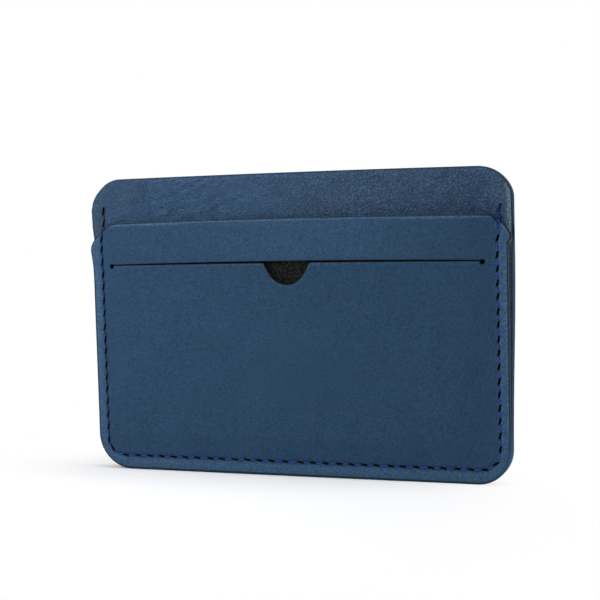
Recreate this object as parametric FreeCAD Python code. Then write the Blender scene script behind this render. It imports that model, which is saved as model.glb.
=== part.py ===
"""Sewn leather card holder: three panels, a slit pocket and two open-topped pockets.

Millimetres. +X is the width, +Z is up and the front faces -Y. The origin is the middle
of the bottom edge, halfway through the thickness.

The layers from back to front are the back panel, the centre panel, the lining and the
front panel. They lie flat on one another along a U-shaped seam, and inside the seam each
one rises away from the layer behind it, which leaves room for the cards. The seam is
pierced through every layer and sewn with two threads that meet inside the centre panel.
"""
import FreeCAD, Part
import math
import os

# Size of the holder
WIDTH = 100.0
HEIGHT = 69.3
TOP_CORNER_RADIUS = 6.5
BOTTOM_CORNER_RADIUS = 8.2

# Materials
LEATHER = 1.4
LINING = 0.3
THREAD_RADIUS = 0.2
OUTER_EDGE_BEVEL = 0.3

# Front panel and the lining behind it
FRONT_HEIGHT = 58.9
FRONT_TOP_RADIUS = 7.2
LINING_TOP_INSET = 1.0
LINING_SIDE_INSET = 0.4

# Pockets: the room left between the layers, and where each layer rises to leave it
CENTRE_POCKET_GAP = 0.3
FRONT_POCKET_GAP = 0.4
RISE_START = 4.0
RISE_END = 7.5
RISE_CORNER_RADIUS = 4.0

# Slit for one card, bowed up and widest in the middle, with a thumb notch in its lower lip
SLIT_HEIGHT = 48.6
SLIT_HALF_LENGTH = 44.6
SLIT_END_RADIUS = 0.5
SLIT_END_HALF_WIDTH = 0.15
SLIT_UPPER_BOW = 0.65
SLIT_LOWER_BOW = 0.15
NOTCH_HALF_WIDTH = 5.4
NOTCH_DEPTH = 4.8
NOTCH_RADIUS = 4.6
NOTCH_LIP_ROUND = 0.8

# Seam: holes pricked from both tops, so that the stitch in the middle is longer
SEAM_SIDE_MARGIN = 2.5
SEAM_BOTTOM_MARGIN = 3.4
SEAM_CORNER_RADIUS = 4.2
SEAM_TOP = 61.7
STITCH_PITCH = 3.1
HOLES_EACH_HALF = 34
HOLE_LENGTH = 1.8
HOLE_WIDTH = 0.5
HOLE_SLANT_DEGREES = 13.0
GROOVE_WIDTH = 1.1
GROOVE_DEPTH = 0.3
GROOVE_RUN_ON = 1.2
LEG_SPREAD = 0.62
THREAD_CLEARANCE = 0.02
THREAD_SIDES = 4

# Places through the thickness
THREAD_PROUD = 2 * THREAD_RADIUS + THREAD_CLEARANCE - GROOVE_DEPTH
CENTRE_RISE = CENTRE_POCKET_GAP
FRONT_RISE = CENTRE_POCKET_GAP + FRONT_POCKET_GAP
DEPTH = 3 * LEATHER + LINING + FRONT_RISE + THREAD_PROUD
BACK_REAR = DEPTH / 2 - THREAD_PROUD
CENTRE_REAR = BACK_REAR - LEATHER
LINING_REAR = CENTRE_REAR - LEATHER
FRONT_REAR = LINING_REAR - LINING
FRONT_FACE = FRONT_REAR - LEATHER
THREADS_MEET = CENTRE_REAR - LEATHER / 2

# The seam passes beside the front panel above this height and through it below
SEAM_X = WIDTH / 2 - SEAM_SIDE_MARGIN
SEAM_PAST_CORNER = FRONT_TOP_RADIUS - SEAM_SIDE_MARGIN
FRONT_TOP_AT_SEAM = (FRONT_HEIGHT - FRONT_TOP_RADIUS
                     + math.sqrt(FRONT_TOP_RADIUS ** 2 - SEAM_PAST_CORNER ** 2))

WELL_CLEAR = 5.0
TOLERANCE = 0.01


def point(x, z, y=0.0):
    """A point from its place across, its height and its depth."""
    return FreeCAD.Vector(x, y, z)


def arc(centre_x, centre_z, radius, start_degrees, turn_degrees):
    """An arc in the plane Y = 0, with angles anticlockwise as seen from the front."""
    ends = []
    for share in (0.0, 0.5, 1.0):
        angle = math.radians(start_degrees + share * turn_degrees)
        ends.append(point(centre_x + radius * math.cos(angle),
                          centre_z + radius * math.sin(angle)))
    return Part.Arc(*ends).toShape()


def rounded_outline(half_width, bottom, top, bottom_radius, top_radius):
    """A closed rounded rectangle in the plane Y = 0."""
    low = bottom + bottom_radius
    high = top - top_radius
    in_low = half_width - bottom_radius
    in_high = half_width - top_radius
    edges = [
        Part.makeLine(point(-in_low, bottom), point(in_low, bottom)),
        arc(in_low, low, bottom_radius, -90, 90),
        Part.makeLine(point(half_width, low), point(half_width, high)),
        arc(in_high, high, top_radius, 0, 90),
        Part.makeLine(point(in_high, top), point(-in_high, top)),
        arc(-in_high, high, top_radius, 90, 90),
        Part.makeLine(point(-half_width, high), point(-half_width, low)),
        arc(-in_low, low, bottom_radius, 180, 90),
    ]
    return Part.Wire(edges)


def slab(outline, inner, outer):
    """A flat plate with this outline, from its inner face to its outer face."""
    face = Part.Face(outline)
    face.translate(FreeCAD.Vector(0, inner, 0))
    return face.extrude(FreeCAD.Vector(0, outer - inner, 0))


def bevelled_slab(outline, inner, outer):
    """The same plate with the edge round its outer face bevelled."""
    plate = slab(outline, inner, outer)
    edges = []
    for edge in plate.Edges:
        if abs(edge.CenterOfMass.y - outer) < TOLERANCE:
            edges.append(edge)
    return plate.makeChamfer(OUTER_EDGE_BEVEL, edges)


# Layers

def pocket_room(rear, rise):
    """The room that a formed layer leaves behind it, running out past the top edge."""
    wires = []
    for inset, depth in ((RISE_START, rear), (RISE_END, rear - rise)):
        wire = rounded_outline(WIDTH / 2 - inset, inset, HEIGHT + WELL_CLEAR,
                               RISE_CORNER_RADIUS, RISE_CORNER_RADIUS)
        wire.translate(FreeCAD.Vector(0, depth, 0))
        wires.append(wire)
    return Part.makeLoft(wires, True, True)


def formed_layer(outline, rear, thickness, rise, plate=slab):
    """A layer of even thickness, flat along the seam and raised inside it."""
    room = pocket_room(rear, rise)
    raised = room.copy()
    raised.translate(FreeCAD.Vector(0, -thickness, 0))
    raised = raised.common(plate(outline, rear, rear - thickness - rise))
    flat = plate(outline, rear, rear - thickness)
    return flat.fuse(raised).cut(room).removeSplitter()


# Slit and thumb notch in the front panel

def slit_and_notch():
    """The cut-out of the slit, its round ends and the notch, right through the panel."""
    left = -SLIT_HALF_LENGTH
    right = SLIT_HALF_LENGTH
    upper = SLIT_HEIGHT + SLIT_END_HALF_WIDTH
    lower = SLIT_HEIGHT - SLIT_END_HALF_WIDTH
    upper_lip = Part.Arc(point(left, upper), point(0, upper + SLIT_UPPER_BOW),
                         point(right, upper)).toShape()
    lower_lip = Part.Arc(point(right, lower), point(0, lower + SLIT_LOWER_BOW),
                         point(left, lower)).toShape()
    slit = Part.Wire([upper_lip, Part.makeLine(point(right, upper), point(right, lower)),
                      lower_lip, Part.makeLine(point(left, lower), point(left, upper))])
    front = FRONT_FACE - FRONT_RISE - WELL_CLEAR
    cutter = slab(slit, FRONT_REAR, front)
    for end in (left, right):
        round_end = Part.Wire(Part.makeCircle(SLIT_END_RADIUS, point(end, SLIT_HEIGHT),
                                              FreeCAD.Vector(0, 1, 0)))
        cutter = cutter.fuse(slab(round_end, FRONT_REAR, front))
    return cutter.fuse(slab(notch_outline(), FRONT_REAR, front))


def notch_outline():
    """The notch: a round bottom, flanks tangent to it, and lips rounded into the slit."""
    lip = SLIT_HEIGHT - SLIT_END_HALF_WIDTH + SLIT_LOWER_BOW
    centre = lip - NOTCH_DEPTH + NOTCH_RADIUS
    rise = lip - centre
    reach = math.hypot(NOTCH_HALF_WIDTH, rise)
    flank = math.atan2(rise, NOTCH_HALF_WIDTH) - math.acos(NOTCH_RADIUS / reach)
    touch_x = NOTCH_RADIUS * math.cos(flank)
    touch_z = centre + NOTCH_RADIUS * math.sin(flank)
    lip_run = NOTCH_LIP_ROUND * math.tan(math.radians(45) + flank / 2)
    flank_x = -math.sin(flank)
    flank_z = math.cos(flank)
    lip_low_x = NOTCH_HALF_WIDTH - lip_run * flank_x
    lip_low_z = lip - lip_run * flank_z
    lip_out_x = NOTCH_HALF_WIDTH + lip_run
    round_z = lip - NOTCH_LIP_ROUND
    middle_angle = math.radians(90) + (math.radians(90) + flank) / 2
    lip_mid_x = lip_out_x + NOTCH_LIP_ROUND * math.cos(middle_angle)
    lip_mid_z = round_z + NOTCH_LIP_ROUND * math.sin(middle_angle)
    bottom = Part.Arc(point(-touch_x, touch_z), point(0, centre - NOTCH_RADIUS),
                      point(touch_x, touch_z)).toShape()
    edges = [bottom]
    edges.append(Part.makeLine(point(touch_x, touch_z), point(lip_low_x, lip_low_z)))
    edges.append(Part.Arc(point(lip_low_x, lip_low_z), point(lip_mid_x, lip_mid_z),
                          point(lip_out_x, lip)).toShape())
    inside_slit = lip + SLIT_UPPER_BOW / 2
    edges.append(Part.makeLine(point(lip_out_x, lip), point(lip_out_x, inside_slit)))
    edges.append(Part.makeLine(point(lip_out_x, inside_slit), point(-lip_out_x, inside_slit)))
    edges.append(Part.makeLine(point(-lip_out_x, inside_slit), point(-lip_out_x, lip)))
    edges.append(Part.Arc(point(-lip_out_x, lip), point(-lip_mid_x, lip_mid_z),
                          point(-lip_low_x, lip_low_z)).toShape())
    edges.append(Part.makeLine(point(-lip_low_x, lip_low_z), point(-touch_x, touch_z)))
    return Part.Wire(edges)


# Seam

def seam_station(run):
    """Place and heading on the left half of the seam, this far from its top."""
    corner_z = SEAM_BOTTOM_MARGIN + SEAM_CORNER_RADIUS
    corner_x = -SEAM_X + SEAM_CORNER_RADIUS
    side = SEAM_TOP - corner_z
    bend = SEAM_CORNER_RADIUS * math.pi / 2
    if run <= side:
        return -SEAM_X, SEAM_TOP - run, math.radians(-90)
    if run <= side + bend:
        turned = (run - side) / SEAM_CORNER_RADIUS
        return (corner_x - SEAM_CORNER_RADIUS * math.cos(turned),
                corner_z - SEAM_CORNER_RADIUS * math.sin(turned),
                turned - math.radians(90))
    return corner_x + run - side - bend, SEAM_BOTTOM_MARGIN, 0.0


def seam_stations():
    """Every stitch hole from the left top, round the bottom, to the right top."""
    left = [seam_station(index * STITCH_PITCH) for index in range(HOLES_EACH_HALF)]
    right = [(-x, z, -heading) for x, z, heading in reversed(left)]
    return left + right


def stitch_holes(stations):
    """Slanted slots pierced through every layer of the seam."""
    holes = []
    for x, z, heading in stations:
        hole = Part.makeBox(HOLE_LENGTH, DEPTH + WELL_CLEAR, HOLE_WIDTH,
                            FreeCAD.Vector(-HOLE_LENGTH / 2, -(DEPTH + WELL_CLEAR) / 2,
                                           -HOLE_WIDTH / 2))
        turn = math.degrees(heading) - HOLE_SLANT_DEGREES
        hole.rotate(FreeCAD.Vector(0, 0, 0), FreeCAD.Vector(0, -1, 0), turn)
        hole.translate(point(x, z))
        holes.append(hole)
    return holes


def seam_groove(rear, front):
    """The line pressed into an outer face, in which the stitches lie."""
    half = GROOVE_WIDTH / 2
    top = SEAM_TOP + GROOVE_RUN_ON
    outer = rounded_outline(SEAM_X + half, SEAM_BOTTOM_MARGIN - half, top,
                            SEAM_CORNER_RADIUS + half, half)
    inner = rounded_outline(SEAM_X - half, SEAM_BOTTOM_MARGIN + half, top + WELL_CLEAR,
                            SEAM_CORNER_RADIUS - half, half)
    return slab(outer, rear, front).cut(slab(inner, rear, front))


def leg(station, forward, depth):
    """Where the thread stands in a hole: at its forward or its rearward end."""
    x, z, heading = station
    angle = heading - math.radians(HOLE_SLANT_DEGREES)
    return point(x + forward * LEG_SPREAD * math.cos(angle),
                 z + forward * LEG_SPREAD * math.sin(angle), depth)


def thread(stations, run_depths, loop_depth):
    """One thread: a run between each two holes and a loop down into every hole."""
    path = [leg(stations[0], 1, loop_depth)]
    for index, depth in enumerate(run_depths):
        path.append(leg(stations[index], 1, depth))
        path.append(leg(stations[index + 1], -1, depth))
        path.append(leg(stations[index + 1], -1, loop_depth))
        path.append(leg(stations[index + 1], 1, loop_depth))
    path.pop()
    section = []
    for side in range(THREAD_SIDES + 1):
        angle = math.radians(360 * (side % THREAD_SIDES) / THREAD_SIDES)
        section.append(path[0] + point(THREAD_RADIUS * math.cos(angle),
                                       THREAD_RADIUS * math.sin(angle)))
    profile = Part.makePolygon(section)
    return Part.makePolygon(path).makePipeShell([profile], True, False, 1)


def seam_threads(stations):
    """The needle thread on the front and the bobbin thread on the back."""
    lift = THREAD_RADIUS + THREAD_CLEARANCE
    on_centre = LINING_REAR - lift
    on_front = FRONT_FACE + GROOVE_DEPTH - lift
    needle_runs = []
    for here, there in zip(stations, stations[1:]):
        beside_front = min(here[1], there[1]) > FRONT_TOP_AT_SEAM
        needle_runs.append(on_centre if beside_front else on_front)
    bobbin_runs = [BACK_REAR - GROOVE_DEPTH + lift] * (len(stations) - 1)
    needle = thread(stations, needle_runs, THREADS_MEET - lift)
    bobbin = thread(stations, bobbin_runs, THREADS_MEET + lift)
    return needle, bobbin


# Assembly

def build():
    """Every piece of the card holder by node name."""
    full = rounded_outline(WIDTH / 2, 0, HEIGHT, BOTTOM_CORNER_RADIUS, TOP_CORNER_RADIUS)
    short = rounded_outline(WIDTH / 2, 0, FRONT_HEIGHT, BOTTOM_CORNER_RADIUS, FRONT_TOP_RADIUS)
    cloth = rounded_outline(WIDTH / 2 - LINING_SIDE_INSET, LINING_SIDE_INSET,
                            FRONT_HEIGHT - LINING_TOP_INSET,
                            BOTTOM_CORNER_RADIUS - LINING_SIDE_INSET,
                            FRONT_TOP_RADIUS - LINING_SIDE_INSET)
    stations = seam_stations()
    holes = stitch_holes(stations)

    back = bevelled_slab(full, CENTRE_REAR, BACK_REAR)
    back = back.cut(seam_groove(BACK_REAR + WELL_CLEAR, BACK_REAR - GROOVE_DEPTH))

    centre = formed_layer(full, CENTRE_REAR, LEATHER, CENTRE_RISE)

    lining = formed_layer(cloth, LINING_REAR, LINING, FRONT_RISE)

    front = formed_layer(short, FRONT_REAR, LEATHER, FRONT_RISE, bevelled_slab)
    front = front.cut(seam_groove(FRONT_FACE + GROOVE_DEPTH, FRONT_FACE - WELL_CLEAR))
    front = front.cut(slit_and_notch())

    needle, bobbin = seam_threads(stations)
    return {
        "back_panel": back.cut(holes),
        "centre_panel": centre.cut(holes),
        "pocket_lining": lining.cut(holes),
        "front_panel": front.cut(holes),
        "needle_thread": needle,
        "bobbin_thread": bobbin,
    }


os.makedirs("parts", exist_ok=True)
for name, shape in build().items():
    shape.exportStep("parts/" + name + ".step")
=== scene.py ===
"""Looks of the sewn leather card holder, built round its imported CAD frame.

The panels, the lining and the threads are made in millimetres in the frame's own axes,
+X across, +Z up and the front facing -Y, and are scaled to metres as meshes are written.
"""
import math

import bpy
import numpy as np
from mathutils import Matrix, Vector, noise
from mathutils.geometry import delaunay_2d_cdt


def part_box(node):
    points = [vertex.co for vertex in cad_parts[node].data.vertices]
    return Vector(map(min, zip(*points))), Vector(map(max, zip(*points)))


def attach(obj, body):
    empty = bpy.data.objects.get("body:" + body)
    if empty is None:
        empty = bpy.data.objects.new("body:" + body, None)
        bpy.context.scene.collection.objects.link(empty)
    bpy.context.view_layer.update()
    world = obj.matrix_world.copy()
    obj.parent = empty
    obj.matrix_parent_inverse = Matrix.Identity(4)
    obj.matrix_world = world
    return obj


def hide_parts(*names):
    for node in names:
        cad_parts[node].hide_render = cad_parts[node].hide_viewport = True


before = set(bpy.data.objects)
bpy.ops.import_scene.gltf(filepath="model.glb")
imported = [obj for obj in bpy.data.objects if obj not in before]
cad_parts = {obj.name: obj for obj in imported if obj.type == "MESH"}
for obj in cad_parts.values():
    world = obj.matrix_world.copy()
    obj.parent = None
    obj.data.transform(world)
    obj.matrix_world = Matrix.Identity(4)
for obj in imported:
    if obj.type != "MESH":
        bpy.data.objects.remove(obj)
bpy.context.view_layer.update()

MM = 0.001

# Sizes that come from the frame
CENTRE_HIGH, FRONT_HIGH, BACK_HIGH = (
    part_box(node)[1] / MM for node in ("centre_panel", "front_panel", "back_panel"))
HALF_WIDTH = CENTRE_HIGH.x
HEIGHT = CENTRE_HIGH.z
FRONT_HEIGHT = FRONT_HIGH.z
BACK_REAR = BACK_HIGH.y
OPEN_TOP = 4 * HEIGHT  # a top edge too high to matter

# Thicknesses, and the rooms that the pockets leave
LEATHER = 1.4
LINING = 0.3
LINING_SLACK = 0.03  # left free on either side of the lining
LINING_INSET = 0.4
CENTRE_GAP = 0.3
FRONT_GAP = 0.4
BOTH_GAPS = CENTRE_GAP + FRONT_GAP

# Depth of each layer's front face along the seam
CENTRE_REAR = BACK_REAR - LEATHER
CENTRE_FACE = CENTRE_REAR - LEATHER
LINING_FACE = CENTRE_FACE - LINING
FRONT_FACE = LINING_FACE - LEATHER

# Outlines; corners run from the upper right, clockwise
FRONT_CORNERS = (4.4, 7.4, 8.5, 6.6)
WHOLE_CORNERS = (7.0, 7.4, 8.5, 7.0)
FRONT_TOP_BOW = 0.5
WHOLE_TOP_BOW = 0.2
BOW_BAND = 12  # height below a top edge over which its bow fades
BOW_SINK = 0.66  # share of its bow by which a whole edge sinks
OUTLINE_STEP = 0.45
CORNER_DEGREES = 3

# Slit and thumb notch
SLIT_HEIGHT = 48.6  # of its end holes
SLIT_HALF_LENGTH = 44.6
SLIT_END_RADIUS = 0.5
SLIT_LOWER_RISE = (0.20, 0.40)  # rise of each lip over the end holes, at ends and middle
SLIT_UPPER_RISE = (0.32, 0.74)
SLIT_ROUNDS = (0.12, 0.08)  # radius of its edges, front and rear
NOTCH_RADIUS = 4.75
NOTCH_DEPTH = 4.6
NOTCH_MIDDLE = -0.14
NOTCH_HALF_WIDTH = 5.4
NOTCH_FLANK_START = 4.25
NOTCH_FLANK_SLOPE = 1.88
NOTCH_LIP_BLEND = 0.05
NOTCH_REACH = 6  # half width of the stretch with close points
SLIT_STEP = 0.22

# Seam. A row is its first place, its pitch and its number of holes: along the bottom from the
# middle outwards, up the sides by height
SEAM_X = HALF_WIDTH - 2.5
SEAM_SHIFT = 0.25  # the whole seam lies this far to the right
SEAM_LOW = 3.4
SEAM_CORNER = 4.2
BEND_START = SEAM_X - SEAM_CORNER  # run from the middle to the corner, and round it
BEND_LENGTH = SEAM_CORNER * math.pi / 2
LEFT_BOTTOM_ROW = (2.0, 3.135, 14)
RIGHT_BOTTOM_ROW = (1.9, 3.018, 15)
LEFT_SIDE_ROW = (6.95, 3.05, 16)
RIGHT_SIDE_ROW = (7.95, 3.0, 15)
LEFT_TOP_HOLES = (55.1, 58.9, 61.7)
RIGHT_TOP_HOLES = (53.6, 57.3, 60.0)
FRONT_HOLES_TOP = 56.4  # holes above this miss the front panel
CORNER_HOLE = 0.55  # share of the bend at which its one hole is
HOLE_LENGTH = 2.0
HOLE_WIDTH = 0.36
HOLE_SLANT = math.radians(11)
HOLE_JITTER = 0.2
HOLE_SEED = 7
HOLE_END_DEGREES = 45
HOLE_ROUNDS = (0.1, 0.06)
BACK_HOLE_MARGIN = -0.08
SEAM_BAND = 1.3  # half width of the band with close points

# Thread
THREAD_RADIUS = 0.2
THREAD_LIFT = 0.62  # share of its radius by which it stands off the leather
LEG_SPREAD = 0.82  # of a thread's two legs, from the middle of a hole
EDGE_LEG_REACH = 0.1  # of the leg beside the right mouth
LEDGE = 0.4  # a step in depth that a stitch climbs at once
RUN_POINTS = 7  # along one run of thread
DOUBLED_LEAN = 0.45
LAST_LEAN = 0.4
NEEDLE_MEET = 0.2  # depth at which each thread turns inside the holes
BOBBIN_MEET = 0.7

# How the free margins give: back at the right, sideways, and cut or rolled at the mouths.
# A pair of places is where a change starts and ends, or the middle and the reach of a hump
MOUTH_SPREAD = 1.7
SPREAD_ACROSS = (12, HALF_WIDTH)
SPREAD_UP = (5, 50)
PAST_MOUTH_UP = (49, 58)
# Share of the spread that each surface takes, and for the last two only below the mouth
SPREAD_SHARES = {"front": 0.4, "lining": 0.43, "centre": 0.5, "between": 0.75}
MOUTH_DIP = 0.9
MOUTH_DIP_ACROSS = (47.9, 0.8)
MOUTH_DIP_UP = (54, 56)
LEFT_CUT = 0.8
LEFT_CUT_UP = (56.9, 1.8)
GIVE_REACH = 2.0
RIGHT_GIVE = 0.6
LEFT_GIVE = 0.8
LEFT_GIVE_UP = (60.5, 6.5)
FRONT_RIGHT_GIVE = 0.8
FRONT_RIGHT_RISE, FRONT_RIGHT_FALL = (52.7, 53.5), (53.5, 56.8)
FRONT_LEFT_GIVE = 0.5
FRONT_LEFT_UP = (53.2, 3.2)
BULGE = 1.2
BULGE_ACROSS = (47.3, 2.2)
BULGE_RISE, BULGE_FALL = (52, 55), (61, 66)
TUCK = 1.6
TUCK_ACROSS = (50.2, 1.5)
TUCK_UP = (54.6, 1.9)
EDGE_ROLL = 0.15
MOUTH_ROLL = 0.75
ROLL_ACROSS = (0, 20)
ROLL_RISE, ROLL_FALL = (48, 53), (62, 65)
ROLL_BAND = 1.5
ROLL_NARROWING = 0.3

# Relief of the faces, in depth
GROOVE_DEPTH = 0.24
STRIP_GROOVE_DEPTH = 0.2
GROOVE_REACH = 0.5
DIMPLE_DEPTH = 0.12
DIMPLE_REACH = 0.75
POCKET_IN = (3.2, 10.0)  # in from the edge, where the pockets open up
CARD_SWELL = 0.25
SWELL_ACROSS = (0, 40)
SWELL_UP = (24, 18)
MARGIN_FALL = 0.25
MARGIN_BAND = 1.8
FRONT_EDGE_FALL, CENTRE_EDGE_FALL, BACK_EDGE_FALL = 0.08, 0.1, 0.12
EDGE_BAND = 1.6
LOWER_LIP_LIFT = 0.10
UPPER_LIP_DIP = 0.08
LIP_REACH = 1.6
SLIT_END_FADE = 4  # how fast the lips' marks end past the slit
STRIP_GROOVE_UP = (50, 54)
STRIP_UP = (52, 57)  # into the strip of the centre panel that shows
CREASED_LEFT = (-8, 30)
BACK_CLEARANCE = 0.02

# Soft noise in the hides, in layers: depth, size across, size up, seed and turn
FRONT_HIDE = ((0.035, 9, 9, 1.0), (0.012, 2.2, 2.2, 2.0))
CREASES = (0.15, 9, 1.2, 3.0, math.radians(20))
STRIP_HIDE = ((0.03, 7, 7, 4.0), (0.02, 1.6, 1.3, 5.0))
BACK_HIDE = ((0.03, 9, 9, 6.0), (0.015, 2, 2, 7.0))

# Radii of the outer edges, front and rear
FRONT_EDGE_ROUND = 0.32  # at the mouths; LOW_EDGE_ROUND is added below them
LOW_EDGE_ROUND = 0.6
LOW_EDGE_UP = (44, 54)
RIGHT_EDGE_SHARE = 0.85  # of that addition is taken off again up the right side
RIGHT_EDGE_ACROSS, RIGHT_EDGE_UP = (40, 49), (6, 12)
FRONT_REAR_ROUND = 0.25
CENTRE_ROUNDS = (0.45, 0.2)
BACK_ROUNDS = (0.2, 0.6)

# Finishes of a panel's faces, in the order of its materials
FRONT, REAR, PIERCED, PAINT = range(4)
ROUND_STEPS = 5
ROUND_DEPTH_SHARE = 0.8

# Painted light and shade, and the paler margin: shares, spans across and up, and a middle and
# reach in from an edge or along it
MOUTH_SHADE_ACROSS, MOUTH_SHADE_UP = (42, 46), (51, 54)
FLOOR_BOUNCE_ACROSS, FLOOR_BOUNCE_UP = (43, 48), (5, 13)
MOUTH_SHADE_TONE, FLOOR_BOUNCE_TONE = 0.28, 2.3  # of the paint there
MARGIN_IN = (2.2, 3.2)
BAND_SHARE, BAND_ALONG, BAND_HEIGHT = 0.4, (8, 26), 2
TOP_RIM, TOP_RIM_IN, TOP_RIM_DOWN = 1.1, (0.34, 0.12), (-6, -2.5)
SIDE_RIM, SIDE_RIM_MORE, SIDE_RIM_MORE_UP = 0.3, 0.6, (22, 42)
SIDE_RIM_IN, SIDE_RIM_ACROSS = (0.5, 0.5), (45, 48)
SIDE_RIM_RISE, SIDE_RIM_FALL = (8, 14), (50, 54)
LIP_RIM, LIP_RIM_IN, LIP_RIM_END = 0.7, (0.3, 0.16), (43, 44.5)
ROLLED_RIM, ROLLED_RIM_IN, ROLLED_RIM_ACROSS = 3.0, (0.45, 0.26), (40, 46)
ROLLED_RIM_RISE, ROLLED_RIM_FALL = (52, 54), (63, 66)
STRIP_RIM, STRIP_RIM_ALONG = 0.1, (14, 20)
SOFT = {"interpolation_type": "SMOOTHSTEP"}

# Limits and steps of the working
NOISE_GAIN = 1.6  # brings plain noise near to -1 and 1
TINY = 1e-12  # stands in for no climb at all
MERGE = 1e-7  # points closer than this are one
ROW_SHARE = 0.87  # distance between rows of points, as a share of their step
BATCH = 2000  # points measured at once, to spare memory

# Studio
CAMERA_PLACE = (103.68, -276.84, 59.77)
CAMERA_TURN = (-20.166, 3.768, -1.539)  # yaw, pitch and roll
CAMERA_LENS = 78
FLOOR_REACH = 3000
FLOOR_STRETCH = (0.75, 1.0, 1.0)
FLOOR_CLEAR_PLACE = (-12 * MM, -35 * MM, 0.0)
FLOOR_FADE_START = 32
FLOOR_FADE_END = 68
ROOM_LIGHT = 0.2


# Small helpers

def smooth(value, start, end):
    """0 before start and 1 after end, with a soft change between them."""
    share = np.clip((value - start) / (end - start), 0, 1)
    return share * share * (3 - 2 * share)


def hump(value, centre, reach):
    """A soft bump of height 1 round a centre."""
    return np.exp(-((value - centre) / reach) ** 2)


def between(value, rise, fall):
    """1 between a span where it rises and a span where it falls, 0 outside them."""
    return smooth(value, *rise) * (1 - smooth(value, *fall))


def rumple(x, z, size_x, size_z, seed, turn=0.0):
    """Soft noise from -1 to 1 with patches of this size, turned by an angle."""
    along = x * math.cos(turn) + z * math.sin(turn)
    across = -x * math.sin(turn) + z * math.cos(turn)
    points = zip(np.ravel(along / size_x), np.ravel(across / size_z))
    values = [noise.noise(Vector((a, b, seed))) for a, b in points]
    return np.reshape(values, np.shape(x)) * NOISE_GAIN


def relief(x, z, *layers):
    """Layers of soft noise, each a depth, a size across, a size up, a seed and maybe a turn."""
    return sum(depth * rumple(x, z, *layer) for depth, *layer in layers)


def nearest_gap(points, others):
    """Distance from each point to the nearest of the others."""
    gaps = points[:, None, :] - others[None, :, :]
    return np.hypot(gaps[..., 0], gaps[..., 1]).min(axis=1)


def inside(x, z, half_width, low, high, corners):
    """Distance in from a rounded rectangle's edge; corners run from the upper right, clockwise."""
    upper_right, lower_right, lower_left, upper_left = corners
    middle = (low + high) / 2
    radius = np.where(x > 0, np.where(z > middle, upper_right, lower_right),
                      np.where(z > middle, upper_left, lower_left))
    over_x = np.abs(x) - half_width + radius
    over_z = np.abs(z - middle) - (high - low) / 2 + radius
    outside = np.hypot(np.maximum(over_x, 0), np.maximum(over_z, 0))
    return radius - outside - np.minimum(np.maximum(over_x, over_z), 0)


def whole_edge(x, z):
    """Distance in from the edge of a full-height panel."""
    return inside(x, z, HALF_WIDTH, 0, HEIGHT, WHOLE_CORNERS)


def front_edge(x, z):
    """Distance in from the edge of the front panel."""
    return inside(x, z, HALF_WIDTH, 0, FRONT_HEIGHT, FRONT_CORNERS)


def from_seam_edge(x, z):
    """Distance in from the sides and the bottom, with the top left open."""
    return inside(x, z, HALF_WIDTH, 0, OPEN_TOP, WHOLE_CORNERS)


def resampled(points, step):
    """A closed line with its points an even step apart."""
    closed = np.vstack([points, points[:1]])
    runs = np.concatenate([[0], np.cumsum(np.hypot(*np.diff(closed, axis=0).T))])
    count = int(round(runs[-1] / step))
    places = np.linspace(0, runs[-1], count, endpoint=False)
    return np.column_stack([np.interp(places, runs, closed[:, k]) for k in (0, 1)])


def leftward(points):
    """Unit normals to the left of a closed line's travel."""
    travel = np.roll(points, -1, axis=0) - np.roll(points, 1, axis=0)
    travel /= np.hypot(*travel.T)[:, None]
    return np.column_stack([-travel[:, 1], travel[:, 0]])


# Seam: where its holes are

def seam_place(side, run):
    """Place and heading on one half of the seam, this far along it from the middle."""
    if run < BEND_START:
        x, z, turned = run, SEAM_LOW, 0.0
    elif run < BEND_START + BEND_LENGTH:
        turned = (run - BEND_START) / SEAM_CORNER
        x = BEND_START + SEAM_CORNER * math.sin(turned)
        z = SEAM_LOW + SEAM_CORNER * (1 - math.cos(turned))
    else:
        x, turned = SEAM_X, math.pi / 2
        z = SEAM_LOW + SEAM_CORNER + run - BEND_START - BEND_LENGTH
    return side * x + SEAM_SHIFT, z, side * turned


def seam_holes():
    """Every hole from the left top, round the bottom, to the right top."""
    rng = np.random.default_rng(HOLE_SEED)
    to_height = BEND_START + BEND_LENGTH - SEAM_LOW - SEAM_CORNER
    places = []
    for side, bottom, up, tops in ((-1, LEFT_BOTTOM_ROW, LEFT_SIDE_ROW, LEFT_TOP_HOLES),
                                   (1, RIGHT_BOTTOM_ROW, RIGHT_SIDE_ROW, RIGHT_TOP_HOLES)):
        runs = [bottom[0] + side * -SEAM_SHIFT + bottom[1] * k for k in range(bottom[2])]
        runs += [BEND_START + CORNER_HOLE * BEND_LENGTH]
        runs += [up[0] + to_height + up[1] * k for k in range(up[2])]
        runs = [run + rng.uniform(-1, 1) * HOLE_JITTER for run in runs]
        runs += [height + to_height for height in tops]
        half = [seam_place(side, run) for run in runs]
        places += half[::-1] if side < 0 else half
    return places


HOLES = seam_holes()
HOLE_PLACES = np.array([(x, z) for x, z, heading in HOLES])
SEAM_TOP_LEFT = HOLES[0][1]
SEAM_TOP_RIGHT = HOLES[-1][1]


def hole_outline(place, margin=0.0):
    """One slanted slot with round ends, anticlockwise, grown by a margin."""
    x, z, heading = place
    angle = heading - HOLE_SLANT
    half = HOLE_WIDTH / 2
    reach = HOLE_LENGTH / 2 - half
    points = []
    for end, start in ((1, -90), (-1, 90)):
        for degrees in range(0, 181, HOLE_END_DEGREES):
            turn = math.radians(start + degrees)
            along = end * reach + (half + margin) * math.cos(turn)
            across = (half + margin) * math.sin(turn)
            points.append((x + along * math.cos(angle) - across * math.sin(angle),
                           z + along * math.sin(angle) + across * math.cos(angle)))
    return np.array(points)


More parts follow.
